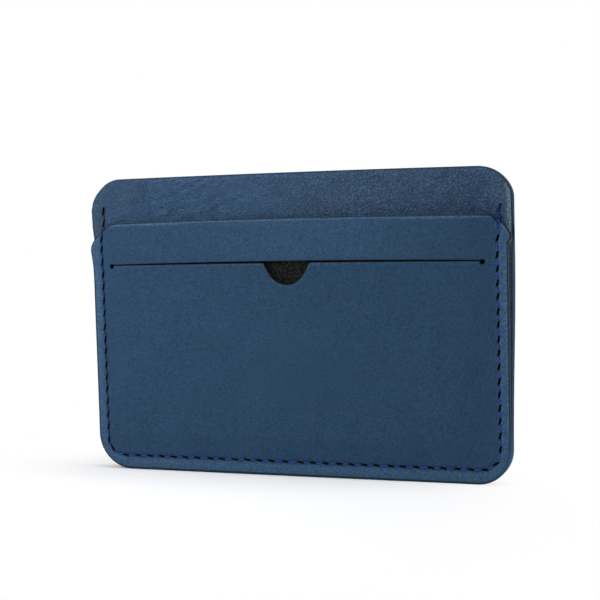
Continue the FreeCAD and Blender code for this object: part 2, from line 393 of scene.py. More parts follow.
def seam_distance(x, z):
    """Distance from the line of the seam."""
    beside = inside(x - SEAM_SHIFT, z, SEAM_X, SEAM_LOW, OPEN_TOP, (SEAM_CORNER,) * 4)
    top = np.where(x > 0, SEAM_TOP_RIGHT, SEAM_TOP_LEFT)
    return np.hypot(beside, np.maximum(z - top, 0))


def hole_distance(x, z, reach=3, beyond=99.0):
    """Distance from the nearest hole's middle, within reach of the seam."""
    places = np.column_stack([np.ravel(x), np.ravel(z)])
    nearest = np.full(len(places), beyond)
    near = np.ravel(seam_distance(x, z)) < reach
    nearest[near] = nearest_gap(places[near], HOLE_PLACES)
    return nearest.reshape(np.shape(x))


# Outlines of the leather and of the cut-out

def rounded_outline(half_width, low, high, corners, bow=0.0):
    """A rounded rectangle, anticlockwise, whose top rises in the middle by the bow."""
    upper_right, lower_right, lower_left, upper_left = corners
    points = []
    for side, up, radius, start in ((1, False, lower_right, -90), (1, True, upper_right, 0),
                                    (-1, True, upper_left, 90), (-1, False, lower_left, 180)):
        x = side * (half_width - radius)
        z = high - radius if up else low + radius
        for degrees in range(0, 91, CORNER_DEGREES):
            turn = math.radians(start + degrees)
            points.append((x + radius * math.cos(turn), z + radius * math.sin(turn)))
    points = resampled(np.array(points), OUTLINE_STEP)
    points[:, 1] += top_bow(*points.T, half_width, high, bow)
    return points


def top_bow(x, z, half_width, high, bow):
    """How far a point is lifted by the bow of the top edge above it."""
    near = smooth(z, high - BOW_BAND, high)
    return bow * (1 - (x / half_width) ** 2) * near - bow * BOW_SINK * near


def slit_bow(x, rise):
    """Height of a lip over the slit's end holes, from its rise at the ends and the middle."""
    ends, middle = rise
    return ends + (middle - ends) * (1 - (x / SLIT_HALF_LENGTH) ** 2)


def end_hole(x):
    """Half height of the round holes that end the slit."""
    end = SLIT_HALF_LENGTH - np.abs(x)
    hole = np.sqrt(np.maximum(SLIT_END_RADIUS ** 2 - end ** 2, 0))
    return np.where(end < SLIT_END_RADIUS, hole, -1)


def lower_lip(x):
    """How far the cut reaches below the height of the slit's end holes."""
    gap = np.where(np.abs(x) < SLIT_HALF_LENGTH, -slit_bow(x, SLIT_LOWER_RISE), 0)
    hole = end_hole(x)
    across = np.abs(x - NOTCH_MIDDLE)
    notch = np.sqrt(np.maximum(NOTCH_RADIUS ** 2 - across ** 2, 0)) + NOTCH_DEPTH - NOTCH_RADIUS
    flank = (NOTCH_HALF_WIDTH - across) * NOTCH_FLANK_SLOPE
    notch = np.where(across < NOTCH_FLANK_START, notch, flank)
    blend = NOTCH_LIP_BLEND
    joined = blend * np.logaddexp(gap / blend, notch / blend)
    return np.maximum(hole, np.where(across < 2 * NOTCH_RADIUS, joined, gap))


def upper_lip(x):
    """How far the cut reaches above the height of the slit's end holes."""
    gap = np.where(np.abs(x) < SLIT_HALF_LENGTH, slit_bow(x, SLIT_UPPER_RISE), 0)
    return np.maximum(end_hole(x), gap)


def slit_outline(coarse=1500, close=3001):
    """The slit, its round ends and the notch as one closed line, anticlockwise."""
    reach = SLIT_HALF_LENGTH + SLIT_END_RADIUS
    places = np.concatenate([np.linspace(-reach, -NOTCH_REACH, coarse),
                             np.linspace(-NOTCH_REACH, NOTCH_REACH, close)[1:-1],
                             np.linspace(NOTCH_REACH, reach, coarse)])
    under = np.column_stack([places, SLIT_HEIGHT - lower_lip(places)])
    over = np.column_stack([places, SLIT_HEIGHT + upper_lip(places)])
    return resampled(np.vstack([under, over[::-1][1:-1]]), SLIT_STEP)


# Making a panel: a plan for each face, and rounded edges that join the two

def in_polygon(points, outline):
    """Which points lie inside a closed line."""
    x, z = points.T[:, :, None]
    x0, z0 = outline.T[:, None]
    x1, z1 = np.roll(outline, -1, axis=0).T[:, None]
    straddles = (z0 > z) != (z1 > z)
    climb = np.where(z1 == z0, TINY, z1 - z0)
    crossed = straddles & (x < x0 + (z - z0) * (x1 - x0) / climb)
    return crossed.sum(axis=1) % 2 == 1


def clear_of(points, outline, clearance):
    """Which points are further than a clearance from a closed line's points."""
    low, high = outline.min(axis=0) - clearance, outline.max(axis=0) + clearance
    near = np.all((points > low) & (points < high), axis=1)
    keep = ~near
    places = np.nonzero(near)[0]
    for some in np.array_split(places, max(1, len(places) // BATCH)):
        keep[some] = nearest_gap(points[some], outline) > clearance
    return keep


def grid(top, step, low=0, half_width=HALF_WIDTH):
    """Points in staggered rows, from a low height to below a top one."""
    rows = []
    for index, z in enumerate(np.arange(low, top, step * ROW_SHARE)):
        xs = np.arange(-half_width + (index % 2) * step / 2, half_width, step)
        rows.append(np.column_stack([xs, np.full(len(xs), z)]))
    return np.vstack(rows)


def plan(borders, inner, outline_room=0.35, hole_room=0.16):
    """Triangles between an outline and its holes, through the inner points clear of both."""
    outline, holes = borders[0], borders[1:]
    keep = in_polygon(inner, outline) & clear_of(inner, outline, outline_room)
    for hole in holes:
        keep &= clear_of(inner, hole, hole_room)
        boxed = keep & np.all((inner > hole.min(axis=0)) & (inner < hole.max(axis=0)), axis=1)
        chosen = np.nonzero(boxed)[0]
        if len(chosen):
            keep[chosen[in_polygon(inner[chosen], hole)]] = False
    points = np.vstack([*borders, inner[keep]])
    edges = []
    owner = np.full(len(points), -1)
    start = 0
    for number, border in enumerate(borders):
        count = len(border)
        edges += [(start + k, start + (k + 1) % count) for k in range(count)]
        owner[start:start + count] = number
        start += count
    result = delaunay_2d_cdt([Vector(p) for p in points], edges, [], 0, MERGE)
    source = np.array([origin[0] for origin in result[3]])
    triangles = source[np.array(result[2])]

    # Triangles with all three corners on one border may lie outside the leather
    owners = owner[triangles]
    one_border = (owners[:, 0] == owners[:, 1]) & (owners[:, 1] == owners[:, 2])
    drop = np.zeros(len(triangles), bool)
    for number, border in enumerate(borders):
        chosen = np.nonzero(one_border & (owners[:, 0] == number))[0]
        within = in_polygon(points[triangles[chosen]].mean(axis=1), border)
        drop[chosen] = ~within if number == 0 else within
    return points, triangles[~drop]


def raised(places, depth):
    """Points in space from places on a plan and their depths."""
    return np.column_stack([places[:, 0], depth, places[:, 1]])


def panel(name, loops, front, rear, front_points, rear_points, wear, whole=True):
    """A closed sheet of leather. A loop is (line, unit way in, front and rear rounds, finish)."""
    turns = [math.radians(90 * k / ROUND_STEPS) for k in range(1, ROUND_STEPS + 1)]
    plans = []
    for side, face, inner in ((0, front, front_points), (1, rear, rear_points)):
        borders = [line + into * np.reshape(rounds[side], (-1, 1))
                   for line, into, rounds, finish in loops]
        points, triangles = plan(borders, inner)
        plans.append((points, triangles, face(points[:, 0], points[:, 1])))
    (front_xz, front_tris, front_y), (rear_xz, rear_tris, rear_y) = plans
    vertices = [raised(front_xz, front_y), raised(rear_xz, rear_y)]
    faces = [tuple(t) for t in front_tris]
    finishes = [FRONT] * len(faces)
    offset = len(front_xz)
    faces += [tuple(t[::-1] + offset) for t in rear_tris]
    finishes += [REAR] * len(rear_tris)
    total = offset + len(rear_xz)

    # Each loop's wall is a row of rings: round off the front face, then round on to the rear one
    start = 0
    for line, into, rounds, finish in loops:
        count = len(line)
        rings = [np.arange(start, start + count)]
        walls = [(rounds[0], turn, front_y[start:start + count], 1) for turn in turns]
        walls += [(rounds[1], turn, rear_y[start:start + count], -1)
                  for turn in reversed(turns)]
        for radius, turn, base, way in walls:
            radius = np.broadcast_to(radius, count)
            ring = line + into * (radius * (1 - math.sin(turn)))[:, None]
            drop = way * ROUND_DEPTH_SHARE * radius * (1 - math.cos(turn))
            vertices.append(raised(ring, base + drop))
            rings.append(np.arange(total, total + count))
            total += count
        rings.append(np.arange(start, start + count) + offset)
        last = len(rings) - 2
        for number, (inner_ring, outer_ring) in enumerate(zip(rings, rings[1:])):
            after_inner, after_outer = np.roll(inner_ring, -1), np.roll(outer_ring, -1)
            quads = np.column_stack([inner_ring, outer_ring, after_outer, after_inner])
            faces += [tuple(q) for q in quads]
            shoulder = {0: FRONT, last: REAR}.get(number, finish)
            finishes += [shoulder if finish == PAINT else finish] * count
        start += count
    vertices = np.vstack(vertices)
    masks = {key: value(vertices[:, 0], vertices[:, 2]) for key, value in wear.items()}
    vertices[:, 0] = relaxed(vertices[:, 0], vertices[:, 2], whole)
    return mesh_object(name, vertices, faces, finishes, masks)


def placed(name, data):
    """A new object at the origin of the scene."""
    made = bpy.data.objects.new(name, data)
    bpy.context.scene.collection.objects.link(made)
    return made


def mesh_object(name, vertices, faces, finishes=None, masks=None):
    """A smooth-shaded object from millimetre points, with masks as point attributes."""
    mesh = bpy.data.meshes.new(name)
    mesh.from_pydata((np.asarray(vertices) * MM).tolist(), [], faces)
    mesh.polygons.foreach_set("use_smooth", np.ones(len(faces), bool))
    if finishes is not None:
        mesh.polygons.foreach_set("material_index", np.array(finishes, np.int32))
    for key, values in (masks or {}).items():
        attribute = mesh.attributes.new(key, "FLOAT", "POINT")
        attribute.data.foreach_set("value", np.asarray(values, np.float32))
    mesh.update()
    return placed(name, mesh)


# Surfaces of the layers: the depth at each place, less towards the front

def risen(x, z):
    """0 along the seam and 1 inside it, where a pocket leaves room."""
    return smooth(from_seam_edge(x, z), *POCKET_IN)


def spread(x, z, least=1.0):
    """How far the layers stand back at the right; low on the panel by a least share of that."""
    back = MOUTH_SPREAD * smooth(x, *SPREAD_ACROSS) * smooth(z, *SPREAD_UP)
    return back * (least + (1 - least) * smooth(z, *PAST_MOUTH_UP))


def relaxed(x, z, whole):
    """Sideways give of the margin outside the seam, where nothing holds the leather."""
    near = np.exp(-np.maximum(HALF_WIDTH - np.abs(x), 0) / GIVE_REACH)
    if whole:
        right = RIGHT_GIVE * smooth(z, *SPREAD_UP)
        left = LEFT_GIVE * hump(z, *LEFT_GIVE_UP)
    else:
        right = FRONT_RIGHT_GIVE * between(z, FRONT_RIGHT_RISE, FRONT_RIGHT_FALL)
        left = FRONT_LEFT_GIVE * hump(z, *FRONT_LEFT_UP)
    return x + np.where(x > 0, right, -left) * near


def seam_press(x, z, depth):
    """How deep the sewing line is pressed in, deeper at its holes."""
    line = depth * hump(seam_distance(x, z), 0, GROOVE_REACH)
    return line + DIMPLE_DEPTH * hump(hole_distance(x, z), 0, DIMPLE_REACH)


def front_swell(x, z):
    """How far the front panel rises over the pockets, most below its middle."""
    depth = -BOTH_GAPS * risen(x, z)
    depth -= CARD_SWELL * hump(x, *SWELL_ACROSS) * hump(z, *SWELL_UP) * risen(x, z)
    return depth


def front_surface(x, z):
    """The front face: pressed at the seam, lower outside it, with the slit's lips uneven."""
    depth = FRONT_FACE + front_swell(x, z)
    depth += seam_press(x, z, GROOVE_DEPTH)
    depth += MARGIN_FALL * (1 - smooth(from_seam_edge(x, z), 0, MARGIN_BAND))
    depth += FRONT_EDGE_FALL * (1 - smooth(front_edge(x, z), 0, EDGE_BAND))
    middle = SLIT_HEIGHT + (slit_bow(x, SLIT_LOWER_RISE) + slit_bow(x, SLIT_UPPER_RISE)) / 2
    slit = np.abs(z - middle) + SLIT_END_FADE * np.maximum(np.abs(x) - SLIT_HALF_LENGTH, 0)
    depth += np.where(z < middle, -LOWER_LIP_LIFT, UPPER_LIP_DIP) * np.exp(-slit / LIP_REACH)
    return depth + relief(x, z, *FRONT_HIDE)


def front_inner(x, z):
    """The front panel's flesh side."""
    return FRONT_FACE + front_swell(x, z) + LEATHER + SPREAD_SHARES["front"] * spread(x, z)


def centre_surface(x, z):
    """The centre panel's face, shaped and creased in the strip above the front panel."""
    edge = whole_edge(x, z)
    depth = CENTRE_FACE - CENTRE_GAP * risen(x, z)
    depth += spread(x, z, SPREAD_SHARES["centre"])
    depth += seam_press(x, z, STRIP_GROOVE_DEPTH) * smooth(z, *STRIP_GROOVE_UP)
    depth += CENTRE_EDGE_FALL * (1 - smooth(edge, 0, EDGE_BAND))

    # Beside the right mouth the margin bulges forward; in the mouth's corner it is tucked back
    depth -= BULGE * hump(x, *BULGE_ACROSS) * between(z, BULGE_RISE, BULGE_FALL)
    depth += TUCK * hump(x, *TUCK_ACROSS) * hump(z, *TUCK_UP)
    rolled = smooth(x, *ROLL_ACROSS) * between(z, ROLL_RISE, ROLL_FALL)
    band = ROLL_BAND - ROLL_NARROWING * rolled
    depth += (EDGE_ROLL + MOUTH_ROLL * rolled) * (1 - smooth(edge, 0, band))

    # Long slanting creases towards the left, then the waves and the lumps of the hide
    creased = smooth(-x, *CREASED_LEFT) * relief(x, z, CREASES)
    return depth + smooth(z, *STRIP_UP) * (creased + relief(x, z, *STRIP_HIDE))


def centre_inner(x, z):
    """The centre panel's flesh side."""
    return CENTRE_REAR - CENTRE_GAP * risen(x, z) + spread(x, z, SPREAD_SHARES["between"])


def back_inner(x, z):
    """The back panel's flesh side, just clear of the centre panel along the seam."""
    return CENTRE_REAR + BACK_CLEARANCE + spread(x, z, SPREAD_SHARES["between"])


def back_surface(x, z):
    """The back panel's outer face."""
    depth = BACK_REAR + spread(x, z)
    depth -= seam_press(x, z, GROOVE_DEPTH)
    depth -= BACK_EDGE_FALL * (1 - smooth(whole_edge(x, z), 0, EDGE_BAND))
    return depth + relief(x, z, *BACK_HIDE)


# Pieces, and the masks for their wear

def hole_loops(below=HEIGHT, margin=0.0):
    """The pierced slots below a height, as loops of a panel."""
    loops = []
    for place in HOLES:
        if place[1] < below:
            line = hole_outline(place, margin)[::-1]
            loops.append((line, leftward(line), HOLE_ROUNDS, PIERCED))
    return loops


def face_points(top, coarse, close):
    """Points over a face up to a height, at a coarse step and a close one along the seam."""
    points = []
    for step, by_seam in ((coarse, False), (close, True)):
        some = grid(top, step)
        points.append(some[(seam_distance(*some.T) < SEAM_BAND) == by_seam])
    return np.vstack(points)


def whole_outline():
    """The outline that the centre and back panels share."""
    return rounded_outline(HALF_WIDTH, 0, HEIGHT, WHOLE_CORNERS, WHOLE_TOP_BOW)


def front_panel():
    """Smooth panel with the slit and the notch; its corners at the mouths are cut back."""
    line = rounded_outline(HALF_WIDTH, 0, FRONT_HEIGHT, FRONT_CORNERS, FRONT_TOP_BOW)
    x, z = line.T
    z -= MOUTH_DIP * hump(x, *MOUTH_DIP_ACROSS) * smooth(z, *MOUTH_DIP_UP)
    x += LEFT_CUT * hump(z, *LEFT_CUT_UP) * (x < 0)
    slit = slit_outline()[::-1]

    # The outer edge is rounded more below the mouths, except up the right side
    right_side = smooth(x, *RIGHT_EDGE_ACROSS) * smooth(z, *RIGHT_EDGE_UP)
    below = (1 - smooth(z, *LOW_EDGE_UP)) * (1 - RIGHT_EDGE_SHARE * right_side)
    shoulder = FRONT_EDGE_ROUND + LOW_EDGE_ROUND * below
    loops = [(line, leftward(line), (shoulder, FRONT_REAR_ROUND), PAINT),
             (slit, leftward(slit), SLIT_ROUNDS, PIERCED)]
    loops += hole_loops(FRONT_HOLES_TOP)
    face = face_points(FRONT_HEIGHT + 1, coarse=0.5, close=0.28)
    rear = grid(FRONT_HEIGHT + 1, step=1.6)
    # Masks for the paler margin with a faint painted light on the band above the slit, painted
    # highlights on the lit edges, painted shade in the mouth's corners and painted floor light
    masks = {"margin": front_margin_and_band, "rim": front_painted_highlight, "shut": mouth_shade_corners,
             "worn": floor_bounce_corner}
    return panel("front_leather", loops, front_surface, front_inner, face, rear, masks,
                 whole=False)


def mouth_shade_corners(x, z):
    """1 at the corners of the pocket mouth, where a painted shade darkens the edge paint: the
    edges lie in shadow against the layer behind.
    """
    return smooth(np.abs(x), *MOUTH_SHADE_ACROSS) * smooth(z, *MOUTH_SHADE_UP)


def floor_bounce_corner(x, z):
    """1 at the lower right corner, where painted light from the white floor below pales the edge
    paint.
    """
    return smooth(x, *FLOOR_BOUNCE_ACROSS) * (1 - smooth(z, *FLOOR_BOUNCE_UP))


def seam_margin(x, z):
    """1 between the seam and the outer edge, 0 inside the seam."""
    return 1 - smooth(from_seam_edge(x, z), *MARGIN_IN)


def front_margin_and_band(x, z):
    """1 on the margin, which is paler, and faintly on the band above the slit, where a painted
    light lightens its middle.
    """
    band = hump(x, *BAND_ALONG) * smooth(z, SLIT_HEIGHT, SLIT_HEIGHT + BAND_HEIGHT)
    return np.maximum(seam_margin(x, z), BAND_SHARE * band)


def front_painted_highlight(x, z):
    """Near 1 along the front panel's top and right edges and the slit's lower lip, where a
    highlight is painted on the lit edges.
    """
    bow = top_bow(x, z, HALF_WIDTH, FRONT_HEIGHT, FRONT_TOP_BOW)
    edge = front_edge(x, z - bow)
    top = TOP_RIM * hump(edge, *TOP_RIM_IN) * smooth(z - FRONT_HEIGHT, *TOP_RIM_DOWN)
    side = SIDE_RIM + SIDE_RIM_MORE * smooth(z, *SIDE_RIM_MORE_UP)
    side *= hump(edge, *SIDE_RIM_IN) * smooth(x, *SIDE_RIM_ACROSS)
    side *= between(z, SIDE_RIM_RISE, SIDE_RIM_FALL)
    lip = hump(SLIT_HEIGHT - lower_lip(x) - z, *LIP_RIM_IN)
    lip *= LIP_RIM * (1 - smooth(np.abs(x), *LIP_RIM_END))
    return np.maximum(np.maximum(top, side), lip)


def rolled_painted_highlight(x, z):
    """High along the strip's right edge, where a highlight is painted on the rolled edge, and a
    faint painted light over the strip's middle.
    """
    edge = hump(whole_edge(x, z), *ROLLED_RIM_IN) * smooth(x, *ROLLED_RIM_ACROSS)
    edge *= ROLLED_RIM * between(z, ROLLED_RIM_RISE, ROLLED_RIM_FALL)
    return np.maximum(edge, STRIP_RIM * hump(x, *STRIP_RIM_ALONG))


def centre_panel():
    """Pebbled panel, finely made only where it shows above the front panel."""
    line = whole_outline()
    loops = [(line, leftward(line), CENTRE_ROUNDS, PAINT)] + hole_loops()
    hidden = STRIP_UP[0]
    face = np.vstack([grid(HEIGHT + 1, step=0.4, low=hidden), grid(hidden, step=1.5)])
    rear = grid(HEIGHT + 1, step=1.8)
    # Masks for the paler margin, a painted highlight on the strip's right edge and painted light
    # from the floor at the lower right corner
    masks = {"margin": seam_margin, "rim": rolled_painted_highlight, "worn": floor_bounce_corner}
    return panel("centre_leather", loops, centre_surface, centre_inner, face, rear, masks)


def back_panel():
    """Plain panel with its grain side out, to the rear."""
    line = whole_outline()
    loops = [(line, leftward(line), BACK_ROUNDS, PAINT)]
    loops += hole_loops(margin=BACK_HOLE_MARGIN)
    inner = grid(HEIGHT + 1, step=1.8)
    outer = face_points(HEIGHT + 1, coarse=0.7, close=0.32)
    # Masks for the paler margin and for painted light from the floor at the lower right corner
    masks = {"margin": seam_margin, "worn": floor_bounce_corner}
    return panel("back_leather", loops, back_inner, back_surface, inner, outer, masks)


def lining():
    """Woven cloth behind the front panel, as one thin closed sheet."""
    half = HALF_WIDTH - LINING_INSET
    line = rounded_outline(half, LINING_INSET, FRONT_HEIGHT - 1.0, FRONT_CORNERS)
    points, triangles = plan([line], grid(FRONT_HEIGHT, 1.2, LINING_INSET, half))
    x, z = points.T
    face = LINING_FACE - BOTH_GAPS * risen(x, z) + LINING_SLACK
    face += SPREAD_SHARES["lining"] * spread(x, z)
    count = len(points)
    vertices = np.vstack([raised(points, face),
                          raised(points, face + LINING - 2 * LINING_SLACK)])
    faces = [tuple(t) for t in triangles] + [tuple(t[::-1] + count) for t in triangles]
    ring = np.arange(len(line))
    after = np.roll(ring, -1)
    faces += [tuple(q) for q in np.column_stack([ring, ring + count, after + count, after])]
    return mesh_object("lining_cloth", vertices, faces)


# Threads

def adder(tree):
    """The function that adds a node to this tree, with its inputs and its settings.

    The kind of a shader node goes without its prefix. An input is given a value, a socket or a
    node, which is linked by its first output.
    """
    def add(kind, inputs=None, **settings):
        made = tree.nodes.new(kind if "Node" in kind else "ShaderNode" + kind)
        for key, value in settings.items():
            setattr(made, key, value)
        for key, value in (inputs or {}).items():
            if isinstance(value, bpy.types.Node):
                value = value.outputs[0]
            if isinstance(value, bpy.types.NodeSocket):
                tree.links.new(value, made.inputs[key])
            else:
                made.inputs[key].default_value = value
        return made
    return add


def thread_tree():
    """Lays a twisted two-ply thread along the edges of a mesh."""
    tree = bpy.data.node_groups.new("twisted_thread", "GeometryNodeTree")
    add = adder(tree)
    face = tree.interface
    face.new_socket("Geometry", in_out="INPUT", socket_type="NodeSocketGeometry")
    for name in ("Bend Radius", "Step", "Ply Radius", "Ply Spread", "Twist Length"):
        face.new_socket(name, in_out="INPUT", socket_type="NodeSocketFloat")
    face.new_socket("Thread", in_out="INPUT", socket_type="NodeSocketMaterial")
    face.new_socket("Geometry", in_out="OUTPUT", socket_type="NodeSocketGeometry")
    given = add("NodeGroupInput").outputs
    path = add("GeometryNodeMeshToCurve", {"Mesh": given["Geometry"]})
    bent = add("GeometryNodeFilletCurve", {"Curve": path, "Count": 5,
               "Radius": given["Bend Radius"], "Limit Radius": True}, mode="POLY")
    even = add("GeometryNodeResampleCurve", {"Curve": bent, "Length": given["Step"]},
               mode="LENGTH")
    along = add("GeometryNodeSplineParameter")
    turns = add("Math", {0: along.outputs["Length"], 1: given["Twist Length"]},
                operation="DIVIDE")
    angle = add("Math", {0: turns, 1: 2 * math.pi}, operation="MULTIPLY")
    tilted = add("GeometryNodeSetCurveTilt", {"Curve": even, "Tilt": angle})

    # The section is a ring drawn out into two plies with a waist between them
    ply = add("GeometryNodeCurvePrimitiveCircle", {"Resolution": 12,
              "Radius": given["Ply Radius"]}, mode="RADIUS")
    spot = add("GeometryNodeInputPosition")
    parts = add("SeparateXYZ", {0: spot})
    ratio = add("Math", {0: parts.outputs["X"], 1: given["Ply Radius"]}, operation="DIVIDE")
    power = add("Math", {0: ratio, 1: given["Ply Spread"]}, operation="MULTIPLY")
    size = add("Math", {0: ratio}, operation="ABSOLUTE")
    waist = add("MapRange", {"Value": size, "From Min": 0.0, "From Max": 0.7, "To Min": 0.62,
                "To Max": 1.0}, **SOFT)
    height = add("Math", {0: parts.outputs["Y"], 1: waist}, operation="MULTIPLY")
    moved = add("CombineXYZ", {"X": power, "Y": height})
    shaped = add("GeometryNodeSetPosition", {"Geometry": ply, "Position": moved})

    solid = add("GeometryNodeCurveToMesh", {"Curve": tilted, "Profile Curve": shaped,
                "Fill Caps": True})
    soft = add("GeometryNodeSetShadeSmooth", {"Geometry": solid})
    real = add("GeometryNodeRealizeInstances", {"Geometry": soft})
    dyed = add("GeometryNodeSetMaterial", {"Geometry": real, "Material": given["Thread"]})
    add("NodeGroupOutput", {0: dyed})
    return tree


def leg(place, forward, depth):
    """Where a thread stands in a hole: at its forward end (1) or its rearward one (-1)."""
    x, z, heading = place
    angle = heading - HOLE_SLANT
    reach = EDGE_LEG_REACH if place is HOLES[-2] and forward < 0 else forward * LEG_SPREAD
    return x + reach * math.cos(angle), depth, z + reach * math.sin(angle)


def front_depth(x, z):
    """Depth of the leather that a front stitch lies on."""
    on_front = front_edge(x, z) > np.where(x < 0, 0.5, 0)
    return np.where(on_front, front_surface(x, z), centre_surface(x, z))


def thread_path(surface, way, meet):
    """The points of one thread, over a surface from hole to hole and down into each hole.

    The needle thread (way -1) has a second run in the right mouth. That run and its last one
    lean outwards.
    """
    lift = way * THREAD_RADIUS * THREAD_LIFT
    path = [leg(HOLES[0], -1, meet), leg(HOLES[0], 1, meet)]
    pairs = [(here, there, 0.0, 0.0) for here, there in zip(HOLES, HOLES[1:])]
    if way < 0:
        pairs[-1] = (*pairs[-1][:2], LAST_LEAN, 0.0)
        pairs.insert(-1, (*pairs[-2][:2], 0.0, DOUBLED_LEAN))
    for here, there, lean, doubled in pairs:
        start, end = np.array(leg(here, 1, 0)), np.array(leg(there, -1, 0))
        if doubled:
            path.append((start[0], meet, start[2]))
        shares = np.linspace(0, 1, RUN_POINTS)
        run = start + (end - start) * shares[:, None]
        run[:, 0] += lean * (1 - shares) + doubled * shares ** 0.5
        run[:, 1] = surface(run[:, 0], run[:, 2]) + lift

        # Where the leather steps, as over the front panel's edge, it keeps to the outer level
        depths = run[:, 1]
        outer = max if way > 0 else min
        for k in range(1, RUN_POINTS - 1):
            if abs(depths[k] - depths[k - 1]) > LEDGE:
                depths[k] = outer(depths[k - 1], depths[k])
        path += [tuple(p) for p in (run if np.ptp(depths) > LEDGE else run[::3])]
        path += [leg(there, -1, meet), leg(there, 1, meet)]
    path = np.array(path)
    path[:, 0] = relaxed(path[:, 0], path[:, 2], way > 0)
    return path


def sewn_thread(name, path, material):
    """A twisted thread as a plain mesh."""
    wire = bpy.data.meshes.new(name + "_path")
    wire.from_pydata((path * MM).tolist(), [(k, k + 1) for k in range(len(path) - 1)], [])
    made = placed(name, wire)
    tree = thread_tree()
    modifier = made.modifiers.new("thread", "NODES")
    modifier.node_group = tree
    sizes = {"Bend Radius": 0.28 * MM, "Step": 0.16 * MM, "Ply Radius": 0.138 * MM,
             "Ply Spread": 0.22 * MM, "Twist Length": 1.15 * MM, "Thread": material}
    for item in tree.interface.items_tree:
        if item.in_out == "INPUT" and item.name in sizes:
            modifier[item.identifier] = sizes[item.name]
    bpy.context.view_layer.update()
    seen = made.evaluated_get(bpy.context.evaluated_depsgraph_get())
    done = bpy.data.meshes.new_from_object(seen)
    made.modifiers.remove(modifier)
    made.data = done
    done.name = name
    return made


# Materials

def linear(hex_colour):
    """An sRGB hex colour as linear numbers."""
    parts = [int(hex_colour[k:k + 2], 16) / 255 for k in (1, 3, 5)]
    return [c / 12.92 if c <= 0.04045 else ((c + 0.055) / 1.055) ** 2.4 for c in parts] + [1.0]


def new_material(name):
    """An empty material, its adder and the place in the object that its patterns follow."""
    made = bpy.data.materials.new(name)
    made.use_nodes = True
    made.node_tree.nodes.clear()
    add = adder(made.node_tree)
    return made, add, add("TexCoord").outputs["Object"]


def mottled(add, spot, size_mm, dark, light, detail=2.0):
    """A dye that wanders between two colours, and the patches of this size that it follows."""
    patches = add("TexNoise", {"Vector": spot, "Scale": 1 / (size_mm * MM), "Detail": detail})
    dye = add("Mix", {"Factor": patches, 6: linear(dark), 7: linear(light)}, data_type="RGBA")
    return dye.outputs[2], patches


def toned(add, dye, one, other):
    """A dye made darker or paler by two shares."""
    both = add("Math", {0: one, 1: other}, operation="MULTIPLY")
    return add("VectorMath", {0: dye, "Scale": both}, operation="SCALE")


def finished(made, add, dye, settings, height=None, relief_mm=0.0):
    """The material, ended with its dye, its relief and the shader's own settings."""
    inputs = {"Base Color": dye, **settings}
    if height is not None:
        inputs["Normal"] = add("Bump", {"Height": height, "Distance": relief_mm * MM})
    shader = add("BsdfPrincipled", inputs)
    add("OutputMaterial", {"Surface": shader})
    return made


def paler_where_masked(add, spot, dye, attribute, size_mm, least, colour):
    """A dye that turns to a paler colour where a mask says, speckled from a least share up: the
    paler margin, and highlights painted on lit edges.
    """
    mask = add("Attribute", attribute_name=attribute)
    speckle = add("TexNoise", {"Vector": spot, "Scale": 1 / (size_mm * MM), "Detail": 3.0})
    patchy = add("MapRange", {"Value": speckle, "From Min": 0.35, "From Max": 0.65,
                 "To Min": least})
    share = add("Math", {0: patchy, 1: mask.outputs["Fac"]}, operation="MULTIPLY")
    return add("Mix", {"Factor": share, 6: dye, 7: linear(colour)}, data_type="RGBA").outputs[2]


def creases(add, spot, degrees, long_mm, wide_mm, depth):
    """Height of a net of fine creases, low in them and high between, drawn out at an angle."""
    laid = add("Mapping", {"Vector": spot, "Rotation": (0.0, math.radians(-degrees), 0.0),
               "Scale": (long_mm * MM, long_mm * MM, wide_mm * MM)}, vector_type="TEXTURE")
    swell = add("TexNoise", {"Vector": laid, "Scale": 1.0, "Detail": 1.5, "Distortion": 0.4})
    off = add("Math", {0: swell, 1: 0.5}, operation="SUBTRACT")
    size = add("Math", {0: off}, operation="ABSOLUTE")
    return add("MapRange", {"Value": size, "From Max": 0.15, "To Min": -0.55 * depth,
               "To Max": 0.45 * depth}, **SOFT)


